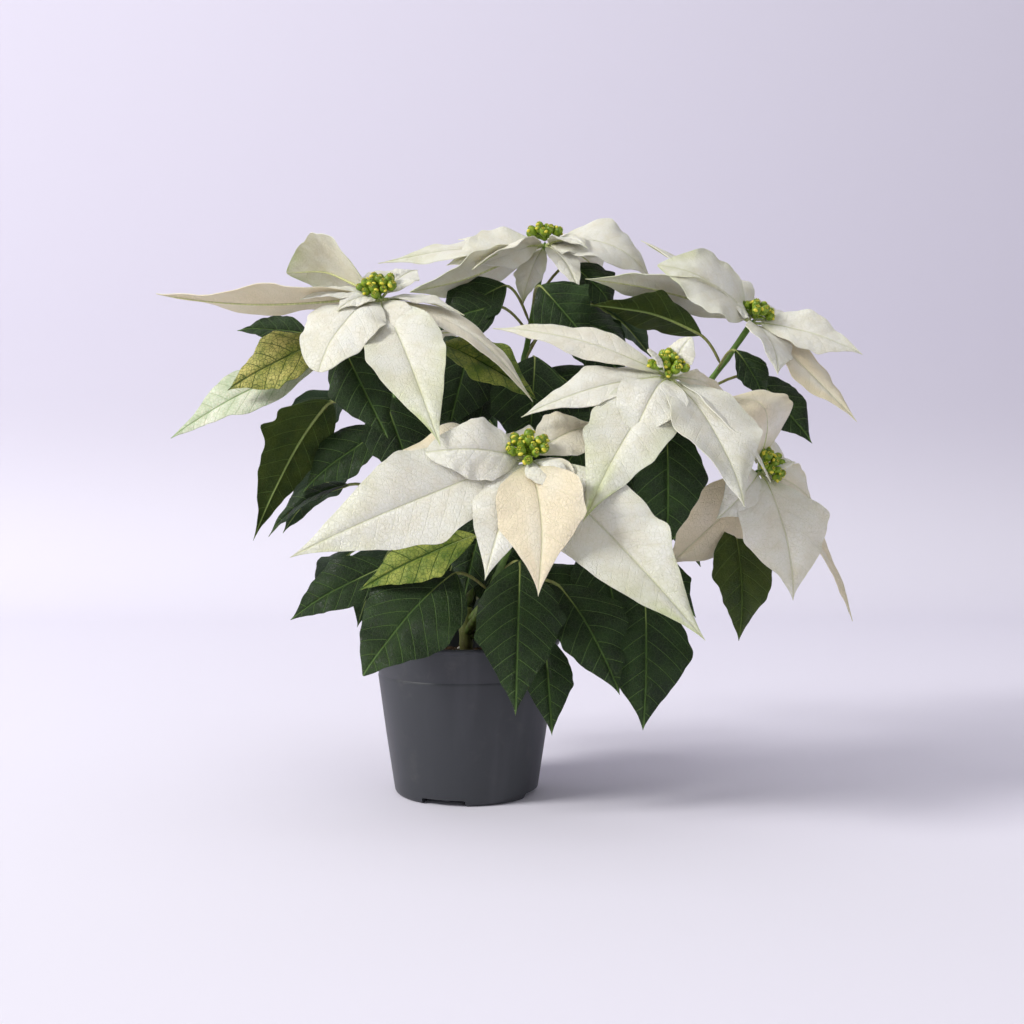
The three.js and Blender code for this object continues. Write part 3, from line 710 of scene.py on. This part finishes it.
def lay_cup(bm, place, axis, size, turn):
    """One cup: a spun shell, its gland and its pollen tips."""
    before = set(bm.verts)
    corners = [bm.verts.new((radius, 0, height)) for radius, height in cup_outline]
    edges = [bm.edges.new(pair) for pair in zip(corners, corners[1:])]
    bmesh.ops.spin(
        bm, geom=corners + edges, cent=(0, 0, 0), axis=(0, 0, 1), angle=math.tau, steps=10, use_merge=True
    )
    shell = [vertex for vertex in bm.verts if vertex not in before]
    bmesh.ops.remove_doubles(bm, verts=shell, dist=1e-5)
    shell_faces = {face for vertex in bm.verts if vertex not in before for face in vertex.link_faces}
    bmesh.ops.recalc_face_normals(bm, faces=list(shell_faces))
    gland = bmesh.ops.create_uvsphere(bm, u_segments=8, v_segments=5, radius=1.15)["verts"]
    bmesh.ops.scale(bm, verts=gland, vec=(0.8, 1.25, 0.7))
    bmesh.ops.rotate(bm, verts=gland, matrix=Matrix.Rotation(math.radians(35), 3, "Y"))
    bmesh.ops.translate(bm, verts=gland, vec=(2.35, 0, 4.7))
    for face in {face for vertex in gland for face in vertex.link_faces}:
        face.material_index = 1
    for i in range(4):
        tip = bmesh.ops.create_icosphere(bm, subdivisions=1, radius=0.42)["verts"]
        around = math.radians(90 * i + 20)
        bmesh.ops.translate(bm, verts=tip, vec=(0.7 * math.cos(around), 0.7 * math.sin(around), 6.1))
        for face in {face for vertex in tip for face in vertex.link_faces}:
            face.material_index = 2
    made = [vertex for vertex in bm.verts if vertex not in before]
    face_up = Vector((0, 0, 1)).rotation_difference(axis).to_matrix() @ Matrix.Rotation(turn, 3, "Z")
    bmesh.ops.scale(bm, verts=made, vec=(size * MM, size * MM, size * MM))
    bmesh.ops.rotate(bm, verts=made, matrix=face_up)
    bmesh.ops.translate(bm, verts=made, vec=place * MM)


cup_count = 15
seed_turn = 2.39996  # radians from one cup to the next, the spacing of seeds in a sunflower
for number, (_, _, head, look) in enumerate(shoots, 1):
    head, look = Vector(head), Vector(look).normalized()
    dice = random.Random(40 + number)
    sideways = look.orthogonal().normalized()
    bm = bmesh.new()
    for i in range(cup_count):
        ring = math.sqrt((i + 0.3) / cup_count)
        around = i * seed_turn + dice.uniform(-0.2, 0.2)
        lean = sideways.copy()
        lean.rotate(Quaternion(look, around))
        axis = (look + lean * (0.95 * ring)).normalized()
        place = head + look * (3.4 + 4.2 * (1 - ring * ring)) + lean * (8.6 * ring)
        lay_cup(bm, place, axis, dice.uniform(0.9, 1.28), dice.uniform(0, math.tau))
        lay_tube(bm, curve_points(head + look * 1, head + look * 3, place + axis * 1.2, 5), [0.9] * 5, 6)
    bm.verts.layers.float.remove(bm.verts.layers.float["along"])
    finish_piece(
        bm, f"flower_cups_{number}", [cup_green, gland_yellow, pollen_tip], [f"cluster_{number}"],
        "flower_cluster",
    )

# ---------------------------------------------------------------------------------------------
# Leaves. Large green leaves hang from the branches on long reddish-green stalks, dark and satiny
# above, paler and strongly ribbed below. A few in the crown are mottled or washed with cream.
# ---------------------------------------------------------------------------------------------


def leaf_skin(name, dark, light, vein, relief, gloss, net_share=0.16, vein_share=0.7):
    """Satin green skin with sunken pale veins, slight mottling and paler worn patches."""
    sockets = {"IOR": 1.42, "Specular IOR Level": 0.36, "Subsurface Weight": 0.05, "Subsurface Scale": 0.001}
    material, tree, shader = new_material(name, sockets)
    side_vein, rib, net, fine = vein_masks(tree, 0.05, 0.009)
    mottle = object_noise(tree, 60, 5, 0.6)
    body = blend(tree, ramp(tree, mottle, 0.3, 0.72), dark, light)
    washed = blend(tree, maths(tree, "MULTIPLY", attribute(tree, "cream"), 0.5), body, (0.30, 0.36, 0.12))
    yellow = maths(tree, "MULTIPLY", attribute(tree, "green"), 0.35)
    yellowed = blend(tree, yellow, washed, (0.12, 0.20, 0.03))
    halo = blend(tree, maths(tree, "MULTIPLY", net, net_share), yellowed, vein)
    shown_vein = maths(tree, "MULTIPLY", side_vein, vein_share)
    lines = maths(tree, "MAXIMUM", shown_vein, maths(tree, "MULTIPLY", rib, 0.85))
    tree.links.new(blend(tree, lines, halo, vein), shader.inputs["Base Color"])
    tree.links.new(ramp(tree, mottle, 0.3, 0.7, gloss, gloss + 0.14), shader.inputs["Roughness"])
    ridges = maths(tree, "ADD", maths(tree, "MULTIPLY", net, 0.5), maths(tree, "MULTIPLY", fine, 0.25))
    ridges = maths(tree, "ADD", ridges, maths(tree, "ADD", side_vein, rib))
    bump(tree, shader, ridges, relief, 0.7)
    return material


leaf_stalk = stem_material("leaf_stalk", (0.20, 0.17, 0.06), (0.22, 0.30, 0.08))
deep_green = [
    leaf_skin("leaf_upper", (0.006, 0.018, 0.003), (0.016, 0.042, 0.006), (0.11, 0.19, 0.05), -0.0008, 0.40),
    leaf_skin("leaf_under", (0.028, 0.062, 0.022), (0.05, 0.095, 0.035), (0.13, 0.19, 0.07), 0.0009, 0.5),
    leaf_stalk,
]
olive = [
    leaf_skin("olive_upper", (0.022, 0.042, 0.004), (0.058, 0.088, 0.008), (0.11, 0.17, 0.04), -0.0007, 0.36),
    leaf_skin("olive_under", (0.024, 0.046, 0.004), (0.060, 0.090, 0.009), (0.12, 0.19, 0.04), 0.0009, 0.48),
    leaf_stalk,
]
mottled = [
    leaf_skin(
        "mottled_upper", (0.20, 0.24, 0.03), (0.58, 0.52, 0.16), (0.045, 0.085, 0.012),
        -0.0007, 0.42, 0.85, 1.0,
    ),
    leaf_skin(
        "mottled_under", (0.20, 0.26, 0.06), (0.38, 0.40, 0.14), (0.10, 0.15, 0.03),
        0.0008, 0.5, 0.5, 0.8,
    ),
    leaf_stalk,
]
lime = [
    leaf_skin(
        "lime_upper", (0.09, 0.16, 0.015), (0.40, 0.44, 0.09), (0.035, 0.09, 0.012),
        -0.0007, 0.42, 0.65, 0.95,
    ),
    leaf_skin(
        "lime_under", (0.12, 0.19, 0.03), (0.28, 0.35, 0.09), (0.10, 0.16, 0.03),
        0.0008, 0.5, 0.4, 0.7,
    ),
    leaf_stalk,
]
pale = [
    leaf_skin(
        "pale_upper", (0.50, 0.58, 0.38), (0.78, 0.80, 0.66), (0.34, 0.46, 0.22),
        -0.0005, 0.48, 0.4, 0.6,
    ),
    leaf_skin(
        "pale_under", (0.52, 0.58, 0.38), (0.74, 0.76, 0.58), (0.36, 0.46, 0.22),
        0.0008, 0.52, 0.4, 0.6,
    ),
    leaf_stalk,
]

# A leaf's row: its name, the branch it grows from and where along it (0 to 1), the foot and the tip
# of its blade, its width, the bow of its rib, its fold, the way its upper side looks, its skin, and
# what else is particular to it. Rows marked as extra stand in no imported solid's place.
leaves = [
    ("leaf_left_small", 0, 0.86, (-105, 20, 301), (-154, 20, 304), 26, 4, 8,
     (-0.2, -0.7, 0.7), deep_green, {}),
    ("leaf_left_mottled", 0, 0.84, (-92, -20, 292), (-152, -20, 261), 42, 4, 8,
     (-0.3, -0.9, 0.4), mottled, {}),
    ("leaf_left_pale", 0, 0.74, (-90, 0, 285), (-194, 0, 231), 42, 6, 10, (-0.2, -0.7, 0.6), pale, {}),
    ("leaf_left_hanging", 0, 0.64, (-85, -30, 254), (-134, -30, 165), 44, 10, 8, (-0.5, 0.8, 0.4), olive,
     {"widest": 0.32, "lobes": ((0.3, -1, 6), (0.34, 1, 8), (0.2, 1, 4)), "point": 1.6}),
    ("leaf_under_head_1", 0, 0.8, (-74, -58, 288), (-44, -72, 228), 38, 4, 10,
     (-0.2, -0.9, 0.3), deep_green, {}),
    ("leaf_left_middle", 0, 0.5, (-51, -20, 236), (-104, -20, 196), 36, 6, 10,
     (-0.1, -0.8, 0.5), deep_green, {}),
    ("leaf_left_edge", 0, 0.42, (-75, -10, 201), (-128, -10, 167), 22, 8, 20, (0, -0.5, 0.9), deep_green, {}),
    ("leaf_low_left", 0, 0.2, (-46, -40, 151), (-109, -40, 116), 36, 6, 10,
     (-0.1, -0.8, 0.5), deep_green, {}),
    ("leaf_front_mottled", 4, 0.55, (8, -60, 170), (-64, -60, 136), 32, 5, 8, (-0.2, -0.8, 0.5), lime, {}),
    ("leaf_over_rim", 4, 0.3, (-5, -52, 147), (-58, -88, 88), 68, 8, 6,
     (-0.3, -0.8, 0.4), deep_green, {"point": -0.3}),
    ("leaf_front_centre", 4, 0.4, (35, -62, 155), (32, -98, 66), 50, 12, 8, (0, -0.9, 0.4), deep_green, {}),
    ("leaf_front_right", 4, 0.34, (58, -58, 140), (94, -84, 76), 46, 10, 8, (0.2, -0.9, 0.4), deep_green, {}),
    ("leaf_front_low", 4, 0.2, (50, -55, 108), (54, -75, 50), 28, 6, 10, (0, -0.9, 0.3), deep_green, {}),
    ("leaf_right_front", 5, 0.5, (111, -58, 137), (108, -80, 54), 54, 8, 6, (0.1, -0.9, 0.3), deep_green, {}),
    ("leaf_right_hanging", 5, 0.82, (170, -28, 178), (173, -34, 102), 42, 8, 10, (0.3, -0.9, 0.3), olive, {}),
    ("leaf_under_head_4", 3, 0.84, (123, -70, 240), (122, -80, 160), 42, 6, 10,
     (0, -0.95, 0.2), deep_green, {}),
    ("leaf_under_head_1_right", 0, 0.88, (-15, -45, 288), (46, -45, 253), 36, 6, 14,
     (0.2, -0.7, 0.6), lime, {}),
    ("leaf_under_head_2", 1, 0.84, (49, 25, 335), (83, 25, 295), 42, 6, 8, (-0.3, -0.9, 0.3), deep_green, {}),
    ("leaf_under_head_3", 2, 0.86, (157, 20, 301), (82, 20, 321), 36, 8, 8, (0, 0.5, 0.8), olive, {}),
    ("leaf_right_upper", 2, 0.84, (176, 0, 289), (196, 0, 252), 26, 4, 10, (0.5, -0.8, 0.3), deep_green, {}),
    ("leaf_right_behind", 2, 0.76, (195, 40, 275), (236, 40, 229), 36, 4, 8,
     (0.3, -0.9, 0.3), deep_green, {}),
    ("leaf_middle_left", 1, 0.62, (5, 10, 300), (-12, 5, 235), 52, 6, 8, (0, -0.95, 0.3), deep_green, {}),
    ("leaf_middle_right", 1, 0.7, (62, 35, 315), (112, 30, 290), 40, 6, 8, (0, -0.6, 0.8), deep_green, {}),
    ("leaf_middle", 1, 0.52, (45, 0, 285), (40, -5, 215), 54, 6, 8, (0.1, -0.95, 0.3), deep_green, {}),
    ("leaf_under_head_2_left", 1, 0.78, (20, 30, 322), (-20, 25, 308), 38, 4, 8,
     (0, -0.9, 0.4), deep_green, {}),
    ("leaf_right_low", 5, 0.66, (112, -30, 160), (146, -35, 117), 26, 4, 8, (0.3, -0.9, 0.3), deep_green, {}),
    ("leaf_back_left", 6, 0.7, (-80, 95, 220), (-140, 110, 165), 50, 8, 8, (-0.5, 0.4, 0.8), deep_green, {}),
    ("leaf_back_left_low", 6, 0.4, (-50, 75, 165), (-85, 110, 95), 50, 8, 8,
     (-0.4, 0.8, 0.5), deep_green, {}),
    ("leaf_back_middle", 6, 0.5, (-5, 95, 190), (0, 140, 125), 52, 8, 8, (0, 0.8, 0.5), deep_green, {}),
    ("leaf_back_low", 7, 0.35, (35, 75, 140), (40, 115, 75), 52, 8, 8, (0, 0.8, 0.5), deep_green, {}),
    ("leaf_back_right", 7, 0.7, (120, 95, 200), (170, 110, 140), 50, 8, 8, (0.5, 0.5, 0.7), deep_green, {}),
    ("leaf_back_right_low", 5, 0.45, (100, 30, 150), (145, 65, 95), 50, 8, 8,
     (0.5, 0.6, 0.6), deep_green, {}),
    ("extra_leaf_1", 1, 0.56, (20, 30, 262), (-42, 20, 226), 46, 6, 8, (-0.2, -0.9, 0.4), deep_green, {}),
    ("extra_leaf_2", 1, 0.48, (40, 45, 240), (85, 40, 200), 50, 6, 8, (0.2, -0.9, 0.4), deep_green, {}),
    ("extra_leaf_3", 0, 0.6, (-20, 10, 270), (-20, 20, 205), 48, 6, 8, (0, -0.9, 0.3), deep_green, {}),
    ("extra_leaf_4", 3, 0.6, (95, -10, 225), (70, -15, 160), 50, 6, 8, (0, -0.9, 0.3), deep_green, {}),
    ("extra_leaf_5", 4, 0.6, (15, -30, 190), (0, -30, 130), 46, 6, 8, (-0.1, -0.9, 0.3), deep_green, {}),
    ("extra_leaf_6", 2, 0.6, (150, 40, 262), (112, 40, 215), 46, 6, 8, (0, -0.9, 0.4), deep_green, {}),
    ("extra_leaf_7", 2, 0.5, (110, 30, 235), (140, 40, 180), 48, 6, 8, (0.2, -0.8, 0.4), deep_green, {}),
    ("extra_leaf_8", 1, 0.74, (85, 70, 330), (130, 80, 292), 42, 6, 8, (0.3, 0.3, 0.9), deep_green, {}),
    ("extra_leaf_9", 6, 0.85, (-20, 115, 285), (20, 150, 240), 44, 8, 8, (0.2, 0.8, 0.5), deep_green, {}),
    ("extra_leaf_10", 6, 0.82, (-95, 120, 270), (-145, 135, 225), 44, 8, 8, (-0.4, 0.6, 0.6), deep_green, {}),
    ("extra_leaf_11", 7, 0.84, (70, 140, 220), (50, 185, 160), 46, 8, 8, (0, 0.8, 0.5), deep_green, {}),
    ("extra_leaf_12", 7, 0.6, (105, 60, 190), (175, 75, 165), 46, 8, 8, (0.5, 0.2, 0.8), deep_green, {}),
    ("extra_leaf_13", 6, 0.3, (-55, 20, 165), (-110, 45, 125), 44, 8, 8, (-0.5, 0.2, 0.7), deep_green, {}),
    ("extra_leaf_14", 7, 0.2, (10, 45, 125), (-30, 90, 82), 44, 8, 8, (-0.2, 0.8, 0.5), deep_green, {}),
    ("extra_leaf_15", 5, 0.2, (50, 10, 130), (100, 40, 90), 42, 8, 8, (0.5, 0.3, 0.8), deep_green, {}),
    ("extra_leaf_17", 0, 0.72, (-50, -38, 256), (-30, -46, 200), 44, 6, 8, (0, -0.9, 0.3), deep_green, {}),
    ("extra_leaf_18", 0, 0.62, (-32, -20, 240), (5, -26, 196), 44, 6, 8, (0.1, -0.9, 0.3), deep_green, {}),
    ("extra_leaf_19", 4, 0.35, (20, -12, 168), (34, -18, 104), 48, 6, 8, (0.1, -0.9, 0.3), deep_green, {}),
    ("extra_leaf_20", 6, 0.2, (-8, 14, 152), (-24, 16, 98), 46, 6, 8, (-0.1, -0.9, 0.3), deep_green, {}),
    ("extra_leaf_21", 5, 0.4, (84, -26, 168), (98, -34, 104), 48, 6, 8, (0.1, -0.9, 0.3), deep_green, {}),
    ("extra_leaf_22", 1, 0.86, (70, 45, 352), (100, 40, 318), 40, 6, 8, (0.1, -0.7, 0.7), deep_green, {}),
    ("extra_leaf_23", 1, 0.66, (15, 20, 290), (-40, 30, 265), 46, 6, 8, (-0.1, -0.8, 0.5), deep_green, {}),
    ("extra_leaf_24", 3, 0.7, (90, -30, 245), (55, -30, 200), 46, 6, 8, (0, -0.9, 0.4), deep_green, {}),
    ("extra_leaf_25", 1, 0.8, (26, 42, 338), (-22, 34, 304), 42, 6, 8, (-0.1, -0.8, 0.5), deep_green, {}),
    ("extra_leaf_26", 1, 0.5, (56, 55, 282), (100, 52, 238), 46, 6, 8, (0.1, -0.9, 0.4), deep_green, {}),
    ("extra_leaf_27", 1, 0.72, (68, 62, 322), (112, 66, 268), 44, 6, 8, (0.1, -0.8, 0.5), deep_green, {}),
    ("extra_leaf_16", 3, 0.3, (40, -20, 150), (75, -45, 105), 44, 6, 8, (0.2, -0.8, 0.4), deep_green, {}),
]
for order, (name, branch, share, foot, tip, width, bow, fold, look, skin, special) in enumerate(leaves):
    foot, tip, look = Vector(foot), Vector(tip), Vector(look)
    origin, bend, end = branch_curves[branch]
    start = origin * (1 - share) ** 2 + bend * 2 * share * (1 - share) + end * share**2
    elbow = foot - (tip - foot).normalized() * 0.22 * (foot - start).length
    form = {
        "bow": bow, "turn": 0, "fold": fold, "droop": 0.07 * width, "pucker": 0.8, "groove": 1.0,
        "long": 60, "wide": 20, "teeth": 0.03, "cream": 0, "green": 0.05, "thickness": 0.45, **special,
    }
    kind = "mottled_leaf" if skin in (mottled, pale, lime) else "leaf"
    replaced = [] if name.startswith("extra") else [name]
    grow_piece(
        name, skin, start, elbow, foot, tip, width, look, form, 900 + order, 1.0, replaced=replaced, slot=kind
    )

# ---------------------------------------------------------------------------------------------
# Studio. A pale lavender-white paper floor runs back into a curved backdrop, painted darker at the top as
# shade. One large soft light stands at the upper left, with a low broad fill and a wash on the backdrop.
# ---------------------------------------------------------------------------------------------
bm = bmesh.new()
wall_at, curve_radius, wall_top = 1.6, 0.5, 3.0
floor_front, floor_reach, curve_steps = -3.0, 5.0, 12
profile = [(floor_front, 0.0), (wall_at - curve_radius, 0.0)]
for step in range(1, curve_steps + 1):
    angle = math.radians(90 * step / curve_steps)
    profile.append((wall_at - curve_radius * (1 - math.sin(angle)), curve_radius * (1 - math.cos(angle))))
profile.append((wall_at, wall_top))
row = [bm.verts.new((-floor_reach, y, z)) for y, z in profile]
rail = [bm.edges.new(pair) for pair in zip(row, row[1:])]
drawn = bmesh.ops.extrude_edge_only(bm, edges=rail)["geom"]
far_side = [part for part in drawn if isinstance(part, bmesh.types.BMVert)]
bmesh.ops.translate(bm, verts=far_side, vec=(2 * floor_reach, 0, 0))
bmesh.ops.recalc_face_normals(bm, faces=bm.faces)
backdrop_mesh = bpy.data.meshes.new("backdrop")
for face in bm.faces:
    face.smooth = True
bm.to_mesh(backdrop_mesh)
bm.free()
backdrop = bpy.data.objects.new("backdrop", backdrop_mesh)
bpy.context.scene.collection.objects.link(backdrop)
paper, tree, shader = new_material("backdrop_paper", {"Roughness": 0.9, "Specular IOR Level": 0.1})
place = node(tree, "ShaderNodeTexCoord").outputs["Object"]
height = node(tree, "ShaderNodeSeparateXYZ", {"Vector": place}).outputs["Z"]
# Painted shade: the paper is painted darker towards the top of the backdrop.
paper_with_painted_shade = blend(tree, ramp(tree, height, 0.0, 0.38), (0.84, 0.82, 0.92), (0.66, 0.635, 0.74))
tree.links.new(paper_with_painted_shade, shader.inputs["Base Color"])
backdrop_mesh.materials.append(paper)


def soft_light(name, place, aim, size, power, colour):
    lamp = bpy.data.lights.new(name, "AREA")
    lamp.shape = "SQUARE"
    lamp.size = size
    lamp.energy = power
    lamp.color = colour
    made = bpy.data.objects.new(name, lamp)
    made.location = place
    made.rotation_euler = (Vector(aim) - Vector(place)).to_track_quat("-Z", "Y").to_euler()
    bpy.context.scene.collection.objects.link(made)


soft_light("key", (-3.15, -1.45, 2.35), (0.05, 0, 0.2), 1.35, 150, (1.0, 0.985, 0.95))
soft_light("fill", (0.9, -1.9, 0.5), (0.05, 0, 0.2), 1.6, 7.5, (0.96, 0.97, 1.0))
soft_light("wall_wash", (0, 0.3, 2.4), (0, 1.6, 0.5), 2.2, 10.5, (1.0, 1.0, 0.985))
world = bpy.data.worlds.new("studio")
bpy.context.scene.world = world
world.use_nodes = True
world.node_tree.nodes["Background"].inputs["Color"].default_value = (0.92, 0.91, 0.94, 1)
world.node_tree.nodes["Background"].inputs["Strength"].default_value = 0.34
